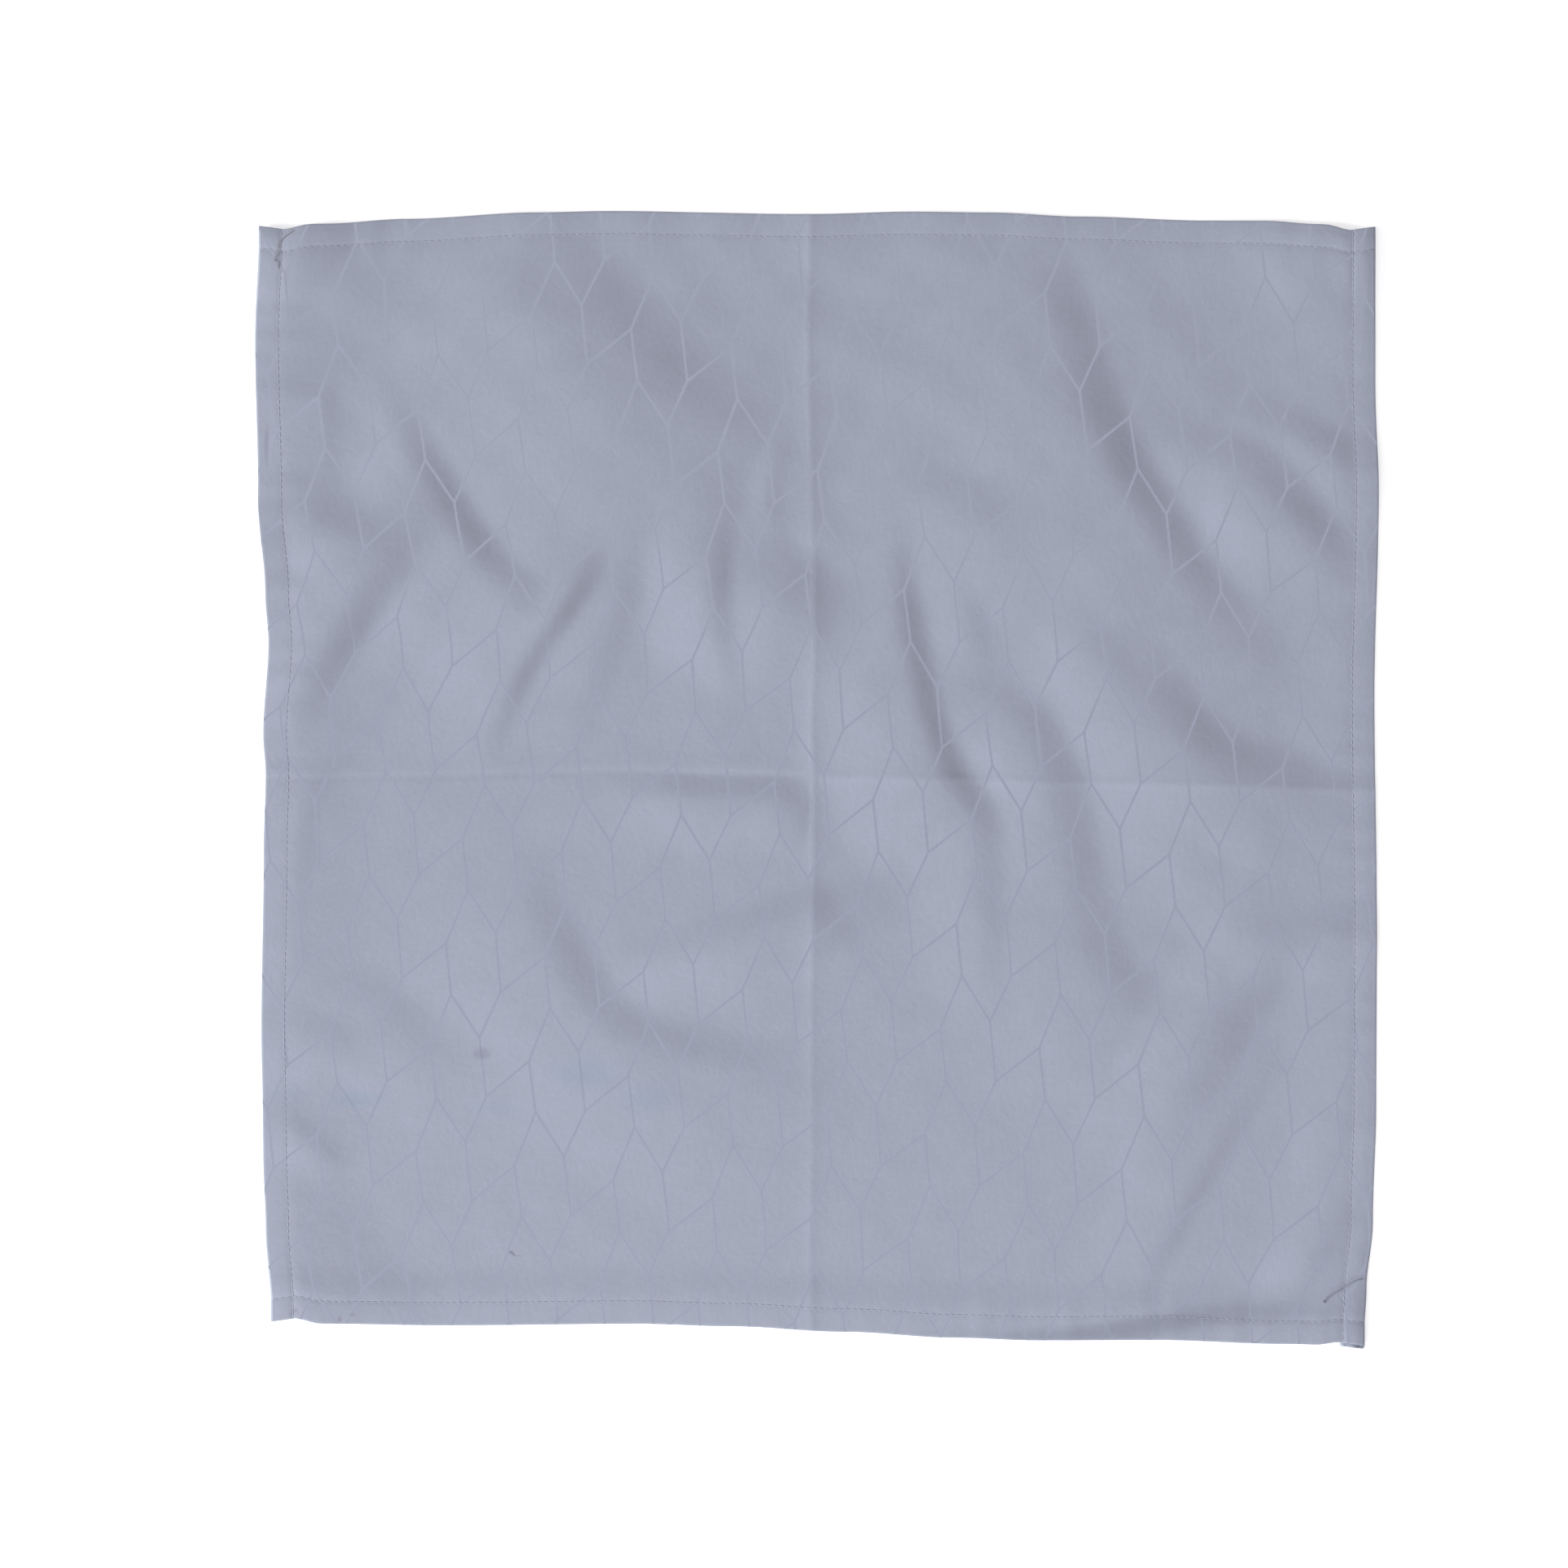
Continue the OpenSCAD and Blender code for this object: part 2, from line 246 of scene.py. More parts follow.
# %% Floor, lamps and world
FLOOR_SIZE = 6.0
FLOOR_DROP = 0.05
FLOOR_GLOW = 0.55
FLOOR_COLOUR = (0.8, 0.8, 0.8, 1.0)
FLOOR_ROUGHNESS = 0.9
WORLD_LIGHT = 0.438
KEY = {"name": "low_window", "place": (-8.1, -1.65, 3.3), "size": 3.2, "power": 850.0}
NEAR = {"name": "near_lamp", "place": (-0.3, -1.9, 0.95), "size": 0.9, "power": 18.5}
LAMP_COLOUR = (0.985, 1.003, 0.985)
WORLD_COLOUR = (1.03, 0.995, 1.035, 1.0)


def add_mesh(name, shape):
    """Turns a bmesh into an object of the scene, with smooth faces."""
    for face in shape.faces:
        face.smooth = True
    mesh = bpy.data.meshes.new(name)
    shape.to_mesh(mesh)
    shape.free()
    made = bpy.data.objects.new(name, mesh)
    bpy.context.scene.collection.objects.link(made)
    return made


def make_floor():
    shape = bmesh.new()
    down = Matrix.Translation((0, 0, -FLOOR_DROP * MM))
    bmesh.ops.create_grid(shape, x_segments=1, y_segments=1, size=FLOOR_SIZE / 2, matrix=down)
    floor = add_mesh("white_table", shape)
    finish = Finish("white_table")
    seen = finish.node("ShaderNodeLightPath", output="Is Camera Ray")
    for kind in ("Is Glossy Ray", "Is Transmission Ray"):
        seen = seen.most(finish.node("ShaderNodeLightPath", output=kind))
    finish.put(Base_Color=FLOOR_COLOUR, Roughness=FLOOR_ROUGHNESS)
    finish.put(Emission_Color=finish.blend(seen, BLACK, WHITE), Emission_Strength=FLOOR_GLOW)
    floor.data.materials.append(finish.material)


def add_lamp(name, place, size, power):
    lamp = bpy.data.lights.new(name, "AREA")
    lamp.shape = "DISK"
    lamp.size = size
    lamp.energy = power
    lamp.color = LAMP_COLOUR
    holder = bpy.data.objects.new(name, lamp)
    holder.location = place
    holder.rotation_euler = (-Vector(place)).to_track_quat("-Z", "Y").to_euler()
    bpy.context.scene.collection.objects.link(holder)


def make_world():
    world = bpy.data.worlds.new("pale_room")
    world.use_nodes = True
    back = world.node_tree.nodes["Background"]
    back.inputs["Color"].default_value = WORLD_COLOUR
    back.inputs["Strength"].default_value = WORLD_LIGHT
    bpy.context.scene.world = world


make_floor()
add_lamp(**KEY)
add_lamp(**NEAR)
make_world()
print("lamps:", KEY["power"], "and", NEAR["power"], "W, world:", WORLD_LIGHT)

# %% [markdown]
# The cloth is one sheet that is folded twice along every side. Each point of the
# cut square has a line across and a line down, and each line lies on the panel, in
# the outer fold, under the hem, in the inner fold or on the turned-in edge. The top
# and bottom hems are turned first, and the side hems are turned over them, so a
# corner is nine layers thick. The same rule made the solid, with fewer lines. Lines
# lie closer together beside the seams and beside the two press creases.

# %% Sizes of the cloth, in millimetres
HALF_W = 250.0
HALF_D = 250.0
CLOTH_T = 0.35
HEM_W = 11.5
TURN_IN = 8.0
PITCH = CLOTH_T + 0.1
NOSE = 0.5
ARC_PRESSED = 0.8
FOLD_ROOM = 1.2
OUTER_TURNS = (0, 36, 72, 108, 144, 180)
INNER_TURNS = (240, 300, 360)
UNDER_HEM = (0.3, 0.6, 0.8, 1.0)
TURNED_IN = (0.2, 0.6, 1.0)
HEM_RUN = 8.0
SIDE_RUN = 36.0
FAR_RUN = 30.0
NEAR_RUN = 16.0
STACK_RUN = 60.0
SEAM_INSET = 1.2
BESIDE_SEAM = (-0.6, -0.2, 0.2, 0.6, 1.2, 2.4, 4.0, 6.0, 7.6)
BESIDE_EDGE = 1.2
LABEL_Y = 156.0
LABEL_W = 29.0
LABEL_L = 18.0
LABEL_TUCK = 7.0
LABEL_T = 0.15
LABEL_LIFT = 0.65
PANEL_CELLS = 154
CREASE_X = -3.0
CREASE_Y = -2.0
BESIDE_CREASE = (-2.8, -1.4, 0.0, 1.4, 2.8)
CREASE_MARGIN = 4.0

# %% Lines over one hem, and the whole set across the cloth


def hem_path():
    """Lines from the panel outwards: share of the way under the hem, turn in degrees,
    run past the inner fold, and length of cloth from the start of the outer fold."""
    outer_arc = math.pi * PITCH * ARC_PRESSED
    inner_arc = outer_arc / 2
    flat = HEM_W - FOLD_ROOM
    rows = [(0.0, turn, 0.0, outer_arc * turn / 180) for turn in OUTER_TURNS]
    rows += [(q, 180, 0.0, outer_arc + flat * q) for q in UNDER_HEM]
    start = outer_arc + flat
    rows += [(1.0, turn, 0.0, start + inner_arc * (turn - 180) / 180) for turn in INNER_TURNS]
    start += inner_arc
    rows += [(1.0, 360, TURN_IN * q, start + TURN_IN * q) for q in TURNED_IN]
    return rows


def cloth_lines(half, crease):
    """Arrays over all lines of one direction, from the far left edge to the right."""
    hem_start = half - HEM_W
    seam = hem_start + SEAM_INSET
    even = np.linspace(-hem_start, hem_start, PANEL_CELLS + 1)
    panel = [place for place in even if abs(place - crease) > CREASE_MARGIN]
    panel = sorted(panel + [crease + step for step in BESIDE_CREASE])
    hem_face = [seam + step for step in BESIDE_SEAM] + [half - BESIDE_EDGE]
    face = [-place for place in reversed(hem_face)] + panel + hem_face
    rows = [(math.copysign(1, place), -1.0, 0.0, place, abs(place)) for place in face]
    folds = [(share, turn, run, half + length) for share, turn, run, length in hem_path()]
    right = [(1.0, share, turn, run, length) for share, turn, run, length in folds]
    left = [(-1.0, share, turn, run, length) for share, turn, run, length in reversed(folds)]
    table = np.array(left + rows + right)
    names = ("side", "share", "turn", "place", "length")
    return {name: table[:, k] for k, name in enumerate(names)}


def folded(lines, half, plies, depth):
    """Folds points that lie depth below the face of so many plies. Returns their
    offset from the middle and their height above the lowest ply."""
    outer = half - NOSE * (PITCH * (3 * plies - 1) / 2 + CLOTH_T / 2)
    inner = half - HEM_W + NOSE * (PITCH * (2 * plies - 1) / 2 + CLOTH_T / 2)
    on_face = lines["share"] < 0
    rolled = lines["turn"] > 180
    radius = PITCH * np.where(rolled, 2 * plies - 1, 3 * plies - 1) / 2
    centre = outer + (inner - outer) * np.maximum(lines["share"], 0) + lines["place"]
    centre = np.where(on_face, lines["place"], lines["side"] * centre)
    reach = radius - depth
    angle = np.radians(lines["turn"])
    offset = centre + np.where(on_face, 0, lines["side"] * NOSE * reach * np.sin(angle))
    return offset, radius + reach * np.cos(angle)


lines_u = cloth_lines(HALF_W, CREASE_X)
lines_v = cloth_lines(HALF_D, CREASE_Y)
print("lines across:", len(lines_u["turn"]), "lines down:", len(lines_v["turn"]))

# %% [markdown]
# Hand laying leaves the square a little bowed. Each edge is a short list of places
# along it and how far it drifts there, joined by smooth steps.

# %% Drift of the edges
LEFT_DRIFT = [(-98, 5.5), (-83, 2.9), (-70, 1.8), (-45, 1), (-15, 2), (0, 2.9), (7, 1.8),
              (24, 4.4), (33, 3), (50, -0.4), (80, -1.8), (98, 0)]
RIGHT_DRIFT = [(-100, -5.5), (-90, -4), (-78, -1.1), (-57, 0.4), (-26, 0.7), (16, -0.4),
               (52, 1.5), (72, 0), (98, 0)]
TOP_DRIFT = [(-100, -2.7), (-88, -1.3), (-74, 0.9), (-50, 3.8), (-38, 4.5), (-1, 3.1),
             (16, 4.2), (31, 3.8), (47, 2), (70, 0.2), (80, 0.1), (90, -1.5), (100, -3.4)]
BOTTOM_DRIFT = [(-100, 7.8), (-90, 6.2), (-68, 5.3), (-33, 6), (-16, 4.9), (5, 2.4),
                (25, -0.2), (40, -1.3), (62, -0.9), (85, -2.7), (100, -3.8)]
SEAM_PULL = 1.6


def clamp(q):
    return np.clip(q, 0.0, 1.0)


def ease(q):
    c = clamp(q)
    return c * c * (3 - 2 * c)


def bump(q):
    """1 at 0, and smoothly down to 0 at 1."""
    c = clamp(np.abs(q))
    return (1 - c * c) ** 2


def eased(points, s):
    """Value at s of a curve that eases from each point to the next."""
    places = np.array([p[0] for p in points], float)
    values = np.array([p[1] for p in points], float)
    k = np.clip(np.searchsorted(places, s, side="right") - 1, 0, len(points) - 2)
    share = ease((s - places[k]) / (places[k + 1] - places[k]))
    return values[k] + (values[k + 1] - values[k]) * share


def on_panel(place, half):
    """A hem is stiff across its width, so it follows the panel beside it."""
    return np.sign(place) * np.minimum(np.abs(place), half - HEM_W)


def laid(x, y):
    """Where hand laying and the seams leave a point of the square."""
    s = 100 * on_panel(x, HALF_W) / HALF_W
    r = 100 * on_panel(y, HALF_D) / HALF_D
    right = (x / HALF_W + 1) / 2
    up = (y / HALF_D + 1) / 2
    past = np.abs(x) - HALF_W + HEM_W
    seam = np.where(past > 0, 1 - past / HEM_W, ease(1 + past / HEM_W))
    pull = SEAM_PULL * seam * np.sign(y) * ease((np.abs(y) - HALF_D + 3 * HEM_W) / (2 * HEM_W))
    laid_x = x + eased(LEFT_DRIFT, r) * (1 - right) + eased(RIGHT_DRIFT, r) * right
    laid_y = y + eased(BOTTOM_DRIFT, s) * (1 - up) + eased(TOP_DRIFT, s) * up - pull
    return laid_x, laid_y


print("widest drift:", max(value for _, value in BOTTOM_DRIFT), "mm")

# %% [markdown]
# Wrinkles are low ridges with one steep side, as in a real cloth that slid over the
# table. Each has a height, a steep width, a gentle width and the line along the
# middle of its steep side, in percent of half the napkin. The steep side falls to
# the left of that line's run. A wrinkle near the lower right runs over the hem.

# %% Wrinkles
WRINKLES = [
    (3.4, 19, 66, [(-81, 76), (-75.5, 67), (-70, 58), (-64, 48), (-58, 40), (-51, 34), (-44, 30)]),
    (5.2, 20, 60, [(-66, 47), (-72, 41), (-78, 33.5), (-84, 25), (-90, 15), (-95, 3)]),
    (2.8, 11, 40, [(-36, 43), (-40.5, 35), (-45.5, 28), (-51.5, 20), (-56, 10), (-59, 0)]),
    (1.3, 16, 34, [(-31, 48), (-33, 36), (-36, 24), (-40, 14), (-46, 0)]),
    (2.0, 14, 30, [(-14, 58), (-16, 45), (-17, 36), (-16, 23), (-11, 6)]),
    (3.6, 33, 50, [(-14, 47), (-8, 41), (-2, 36), (4, 31), (10, 25)]),
    (3.2, 16, 54, [(14, 52), (15.8, 38), (18, 24), (21, 11), (25, 1.5), (29.5, -4.5), (32, -12),
                   (33, -22)]),
    (2.6, 22, 34, [(23, 28), (32, 17), (39, 11), (45, 1), (48, -12), (50, -26)]),
    (1.9, 26, 70, [(42, 4), (47, -12), (51, -27), (56, -36), (66, -41), (80, -46)]),
    (3.6, 25, 100, [(39, 116), (42, 98), (47, 80), (54, 62), (62, 48), (70, 36), (81, 24),
                    (92, 14)]),
    (3.9, 22, 42, [(57, 63), (67, 61), (76, 59), (84, 54), (90, 46.5), (94, 38), (97, 30)]),
    (2.4, 18, 24, [(74, 70), (83, 66), (91, 62), (98, 57), (105, 52)]),
    (3.6, 26, 56, [(54, 35), (58, 25), (62, 18), (66, 12), (71, 7), (77, 4), (84, 2.5), (91, 0),
                   (99, -4), (108, -9)]),
    (1.0, 20, 26, [(42, 34), (50, 26), (56, 17), (62, 6)]),
    (2.4, 24, 66, [(-54, -6), (-50, -17), (-45, -28), (-37, -41), (-22, -47), (-6, -49),
                   (8, -50)]),
    (3.2, 18, 30, [(-46, -35), (-33, -31), (-20, -27), (-9, -23), (2, -20), (14, -18)]),
    (4.2, 50, 110, [(-64, 112), (-48, 98), (-36, 85), (-25, 74), (-12, 63), (2, 53)]),
    (1.0, 26, 20, [(-84, 76), (-72, 84), (-60, 89), (-48, 91), (-34, 90)]),
    (1.3, 24, 26, [(-104, 56), (-92, 52), (-83, 46), (-74, 40)]),
    (1.0, 18, 22, [(-104, -40), (-92, -43), (-84, -46), (-74, -52)]),
    (1.2, 26, 30, [(-90, -30), (-78, -39), (-66, -48), (-52, -54)]),
    (1.0, 22, 24, [(54, -6), (66, -13), (76, -18), (88, -22)]),
    (1.8, 18, 20, [(72, -30), (82, -27), (92, -24), (104, -21)]),
    (2.6, 24, 30, [(96, -16), (87, -28), (79, -40), (71, -52), (63, -64), (54, -78)]),
    (1.5, 12, 36, [(84, -48), (77, -60), (69, -73), (61, -88), (54, -102)]),
]
SMALL_WRINKLES = [
    (0.5, 12, 20, [(-6, -13), (0, -21), (6, -28), (13, -38)]),
    (0.8, 10, 14, [(-98, -56), (-91, -63), (-82, -70)]),
    (0.8, 12, 20, [(24, 36), (29, 28), (32, 18)]),
    (0.6, 10, 20, [(-72, 20), (-80, 8), (-89, -1), (-92, -20), (-93, -40)]),
    (0.5, 9, 16, [(100, -60), (93, -67), (88, -74)]),
    (1.0, 16, 30, [(30, 2), (31, -15), (32, -30), (32, -48)]),
    (1.8, 30, 40, [(4, 60), (14, 56), (26, 51), (38, 47), (48, 40)]),
    (1.3, 8, 10, [(-38, 40), (-42, 33.5), (-47, 27.5), (-55, 21)]),
    (0.5, 9, 8, [(-3, 65), (-6, 57), (-7, 49), (-3, 42)]),
    (0.9, 12, 30, [(15, 47), (15.8, 38), (17, 30), (19, 20)]),
    (0.6, 16, 16, [(-2, 53), (3, 47), (8, 40)]),
    (0.9, 14, 20, [(-82, 95), (-89, 90), (-96, 82)]),
    (1.0, 10, 14, [(-94, 70), (-88, 66), (-84, 60)]),
]
HEM_WRINKLES = [
    (4.2, 12, 46, [(4, -101), (24, -100.5), (42, -100), (56, -98.5), (66, -96.5), (76, -95.5),
                   (90, -95.5), (110, -96)]),
    (1.2, 12, 16, [(98, -76), (93, -83), (87, -90), (81, -96)]),
]
STEEPEST = 0.577
CREST_STEPS = 4


def smooth_crest(points):
    """A finer crest through the points, without kinks (a Catmull-Rom curve)."""
    p = np.array([points[0], *points, points[-1]], float)
    fine = []
    for k in range(1, len(p) - 2):
        a, b, c, d = p[k - 1:k + 3]
        for t in np.arange(CREST_STEPS) / CREST_STEPS:
            fine.append(b + 0.5 * ((c - a) * t + (2 * a - 5 * b + 4 * c - d) * t ** 2
                                   + (3 * b - a - 3 * c + d) * t ** 3))
    return np.array([*fine, p[-1]])


def wrinkle_height(x, y, wrinkle):
    height, steep, gentle, points = wrinkle
    crest = smooth_crest(points) * (HALF_W / 100, HALF_D / 100)
    count = len(crest) - 1
    best = np.full(x.shape, 1e9)
    side = np.zeros(x.shape)
    along = np.zeros(x.shape)
    for k in range(count):
        run = crest[k + 1] - crest[k]
        dx, dy = x - crest[k][0], y - crest[k][1]
        q = clamp((dx * run[0] + dy * run[1]) / (run @ run))
        away_x, away_y = dx - run[0] * q, dy - run[1] * q
        gap = np.hypot(away_x, away_y)
        near = gap < best
        best = np.where(near, gap, best)
        side = np.where(near, run[0] * away_y - run[1] * away_x, side)
        along = np.where(near, (k + q) / count, along)
    past_crest = np.where(side > 0, best, -best) + STEEPEST * steep
    width = np.where(past_crest > 0, steep, gentle)
    return height * bump(past_crest / width) * bump(2 * along - 1)


print("wrinkles:", len(WRINKLES), "and", len(SMALL_WRINKLES), "small ones")

# %% [markdown]
# Folding in four has left two press creases. Each has a low broad form whose height
# changes along it, and a sharp narrow line in its middle, where the iron pressed it.
# The level one is deepest left of the middle, where the cloth before it swells up.

# %% Press creases
# Height of a crease along its length: place in percent, height in millimetres
UPRIGHT_CREASE = [(-100, 0.2), (-75, 0.15), (-60, 0.1), (-18, 0.35), (0, 0.5), (20, 0.25),
                  (50, 0.2), (62, 0.35), (100, 0.25)]
LEVEL_CREASE = [(-100, 0.25), (-60, 0.15), (-42, 0.3), (-23, 2.0), (-9, 1.9), (1, 0.3),
                (30, 0.3), (100, 0.3)]
CREASE_RUN = 13.0
PRESSED_RUN = 4.5
PRESSED_UPRIGHT = 0.14
PRESSED_LEVEL = 0.16
NEAR_RUN_IN = 40.0
NEAR_CREST = 12.0
FAR_SHOULDER = 0.08


def crease_ridge(d, run):
    return (1 - clamp(np.abs(d) / run)) ** 2


def crease_groove(d, run):
    c = clamp(np.abs(d) / run)
    return 27 / 4 * c * (1 - c) ** 2


def crease_trough(d):
    """The near side of the level groove: a short fall from a long low shoulder."""
    away = np.abs(d)
    return ease(away / NEAR_CREST) * ease((NEAR_RUN_IN - away) / (NEAR_RUN_IN - NEAR_CREST))


def creases(x, y):
    """The upright crease is a ridge. The level one is a groove on its left half and a
    ridge on its right half. Each has a sharp pressed line along its middle."""
    ridge = eased(UPRIGHT_CREASE, 100 * y / HALF_D) * crease_ridge(x - CREASE_X, CREASE_RUN)
    across = ease((x - CREASE_X) / CREASE_RUN + 0.5)
    level = eased(LEVEL_CREASE, 100 * x / HALF_W)
    far = FAR_SHOULDER * crease_groove(y - CREASE_Y, CREASE_RUN)
    trough = np.where(y > CREASE_Y, far, crease_trough(y - CREASE_Y))
    level = level * ((1 - across) * trough + across * crease_ridge(y - CREASE_Y, CREASE_RUN))
    upright_line = PRESSED_UPRIGHT * crease_ridge(x - CREASE_X, PRESSED_RUN)
    groove_line = crease_groove(y - CREASE_Y, 2 * PRESSED_RUN)
    level_line = (1 - across) * groove_line + across * crease_ridge(y - CREASE_Y, PRESSED_RUN)
    return np.maximum(level, ridge) + np.maximum(upright_line, PRESSED_LEVEL * level_line)


print("crease run:", CREASE_RUN, "mm")

# %% [markdown]
# A seam gathers the cloth a little as it is sewn, and the hem puckers between the
# stitches. The puckers are short waves along a hem, stronger in some places than in
# others. The thread presses the layers together, so the seam is a shallow groove,
# and the pressed edge of the hem is thinner than its middle. Where the stiff tape
# lies in the left hem, the cloth on it stays flat.

# %% Puckers and pressed seams
# Strength of the puckers: place along the hem in percent, height in millimetres
LEFT_PUCKERS = [(-100, 0.1), (-60, 0.05), (0, 0.15), (12, 0.5), (30, 0.5), (45, 0.3), (60, 0.5),
                (70, 0.55), (92, 0.5), (100, 0.1)]
RIGHT_PUCKERS = [(-100, 0.1), (-60, 0.15), (-25, 0.35), (15, 0.35), (30, 0.15), (60, 0.2),
                 (100, 0.1)]
TOP_PUCKERS = [(-100, 0.15), (-80, 0.25), (-60, 0.08), (0, 0.06), (60, 0.06), (90, 0.2),
               (100, 0.1)]
BOTTOM_PUCKERS = [(-100, 0.1), (-60, 0.05), (0, 0.08), (50, 0.25), (90, 0.3), (100, 0.1)]
PUCKER_PITCH = 14.0
PUCKER_GROUP = 41.0
PUCKER_REACH = 16.0
EDGE_THINNING = {"left": 0.06, "right": 0.18, "top": 0.18, "bottom": 0.06}
EDGE_ROUND = 5.0
SEAM_DEPTH = 0.05
SEAM_SPREAD = 0.9
TAPE_STEP = 7.0
TAPE_MARGIN = 3.0
TAPE_RISE = 0.55
STIFF_SETTLE = 35.0
UNEVEN_HEIGHT = 0.12
FAR_UNEVEN = 0.3
# Waves of the unevenness: length in millimetres, turn in degrees and phase
UNEVEN_WAVES = [(61, 20, 0), (47, 80, 2), (39, 140, 4), (31, 50, 1)]


def waves(place, phase):
    """Uneven short waves between 0 and 1."""
    bend = place + 3 * np.sin(place / 31 + phase) + 2 * np.sin(place / 11 + 2 * phase)
    slow = 0.6 + 0.4 * np.sin(2 * math.pi * place / PUCKER_GROUP + 3 * phase)
    return slow * (0.5 + 0.5 * np.sin(2 * math.pi * bend / PUCKER_PITCH + phase))


def tape_share(x, y):
    """1 over the tape that is sewn into the left hem."""
    over_x = ease((-HALF_W + HEM_W + LABEL_L - x) / TAPE_STEP + 1)
    over_y = ease((LABEL_W / 2 - np.abs(y - LABEL_Y)) / TAPE_STEP + 1)
    return over_x * over_y


def puckers(x, y):
    def along_hem(strength, place, half, from_edge, phase):
        fading = ease(1 - (from_edge - HEM_W) / PUCKER_REACH)
        return eased(strength, 100 * place / half) * waves(place, phase) * fading
    return (along_hem(LEFT_PUCKERS, y, HALF_D, HALF_W + x, 0.3) * (1 - tape_share(x, y))
            + along_hem(RIGHT_PUCKERS, y, HALF_D, HALF_W - x, 1.9)
            + along_hem(TOP_PUCKERS, x, HALF_W, HALF_D - y, 4.1)
            + along_hem(BOTTOM_PUCKERS, x, HALF_W, HALF_D + y, 5.2))


def unevenness(x, y):
    """The slight relief that no laid cloth is without."""
    total = 0.0
    for step, turn, phase in UNEVEN_WAVES:
        angle = math.radians(turn)
        run = x * math.cos(angle) + y * math.sin(angle)
        drift = x * math.sin(angle) - y * math.cos(angle)
        total = total + np.sin(2 * math.pi * run / step + 1.5 * np.sin(drift / step) + phase)
    height = UNEVEN_HEIGHT + FAR_UNEVEN * ease(y / HALF_D)
    return height * (1 + total / len(UNEVEN_WAVES))


def press(x, y):
    """Share of its height that the stitched and pressed hem keeps."""
    def lost(place, half, before, after):
        thinning = np.where(place < 0, EDGE_THINNING[before], EDGE_THINNING[after])
        from_edge = half - np.abs(place)
        groove = np.exp(-((HEM_W - SEAM_INSET - from_edge) / SEAM_SPREAD) ** 2)
        return thinning * (1 - ease(from_edge / EDGE_ROUND)) + SEAM_DEPTH * groove
    return 1 - lost(x, HALF_W, "left", "right") - lost(y, HALF_D, "bottom", "top")


def hem_share(place, half, run):
    """1 on the hem band and 0 on the panel past the run down to the table."""
    return ease((np.abs(place) - half + HEM_W + run) / run)


def stack_share(y):
    """How much of the top or bottom hem the side hems have to go round at a place."""
    return hem_share(y, HALF_D, STACK_RUN)


def share_x(x, y):
    return hem_share(x, HALF_W, SIDE_RUN * (1 + stack_share(y)))


def share_y(y):
    return hem_share(y, HALF_D, np.where(y < 0, NEAR_RUN, FAR_RUN))


def relief(x, y, wrinkles):
    """Height of creases and wrinkles at a place on the panel."""
    table_x, table_y = laid(x, y)
    total = creases(x, y)
    for wrinkle in wrinkles:
        total = total + wrinkle_height(table_x, table_y, wrinkle)
    return total


def stiff_share(x, y):
    """1 over the tape, which keeps the cloth on it from bending, and 0 far from it."""
    reach_x = -HALF_W + HEM_W + LABEL_L + TAPE_MARGIN - x
    reach_y = LABEL_W / 2 + TAPE_MARGIN - np.abs(y - LABEL_Y)
    return ease(reach_x / STIFF_SETTLE + 1) * ease(reach_y / STIFF_SETTLE + 1)


def rise(hem_x, hem_y):
    """Height of the laid cloth above the table."""
    x, y = on_panel(hem_x, HALF_W), on_panel(hem_y, HALF_D)
    stiff = stiff_share(x, y)
    total = (1 - stiff) * relief(x, y, WRINKLES + SMALL_WRINKLES) + stiff * TAPE_RISE
    for wrinkle in HEM_WRINKLES:
        total = total + wrinkle_height(*laid(hem_x, hem_y), wrinkle)
    return total + puckers(x, y) + unevenness(x, y) * (1 - tape_share(x, y))


print("pucker pitch:", PUCKER_PITCH, "mm, rise of the tape:", TAPE_RISE, "mm")

# %% [markdown]
# Now the cloth itself. Two grids are made, one for the face and one for the back,
# and each corner of a cell moves to its place in the folded cloth. Their rims are
# then bridged, so that the sheet is closed, as thick cloth is. The lengths along
# the cut cloth are kept as a UV map, so that the woven figure runs over the folds.

# %% Places of the cloth's points
FAN = 1.7
FAN_RUN = 24.0


def cloth_points(w):
    """Places of all line crossings, at height w in the thickness of the cloth."""
    y, height = folded(lines_v, HALF_D, np.ones_like(lines_v["turn"]), -w)
    depth = 2 * PITCH - height
    plies = 1 + 2 * share_y(y)[None, :]
    stack = 1 + 2 * stack_share(y)[None, :]
    across = {name: values[:, None] for name, values in lines_u.items()}
    x, stacked = folded(across, HALF_W, stack, depth[None, :])
    y = np.broadcast_to(y[None, :], x.shape)
    on_top = (1 + np.cos(np.radians(np.minimum(across["turn"], 180)))) / 2
    settled = (2 * stack * (1 - share_x(x, y)) + (stack - plies) * on_top) * PITCH
    z = (CLOTH_T / 2 + stacked - settled) * press(x, y)
    z = z + LABEL_LIFT * tape_share(x, y) * on_top
    return x, y, z


def fanned(x, y):
    """The layers folded behind the near right corner stick out a little past it."""
    under = ease(lines_u["turn"] / 180)[:, None] * (x > 0)
    return y - FAN * under * ease((-y - HALF_D + FAN_RUN) / FAN_RUN)


face_flat = cloth_points(CLOTH_T / 2)
back_flat = cloth_points(-CLOTH_T / 2)
face_laid = laid(face_flat[0], fanned(face_flat[0], face_flat[1]))
middle_x = (face_laid[0].min() + face_laid[0].max()) / 2
middle_y = (face_laid[1].min() + face_laid[1].max()) / 2


def finished(points):
    """Moves points of the flat square to their places on the table, in metres."""
    x, y, z = points
    laid_x, laid_y = laid(x, y)
    return np.stack([laid_x - middle_x, laid_y - middle_y, z + rise(x, y)], axis=-1) * MM


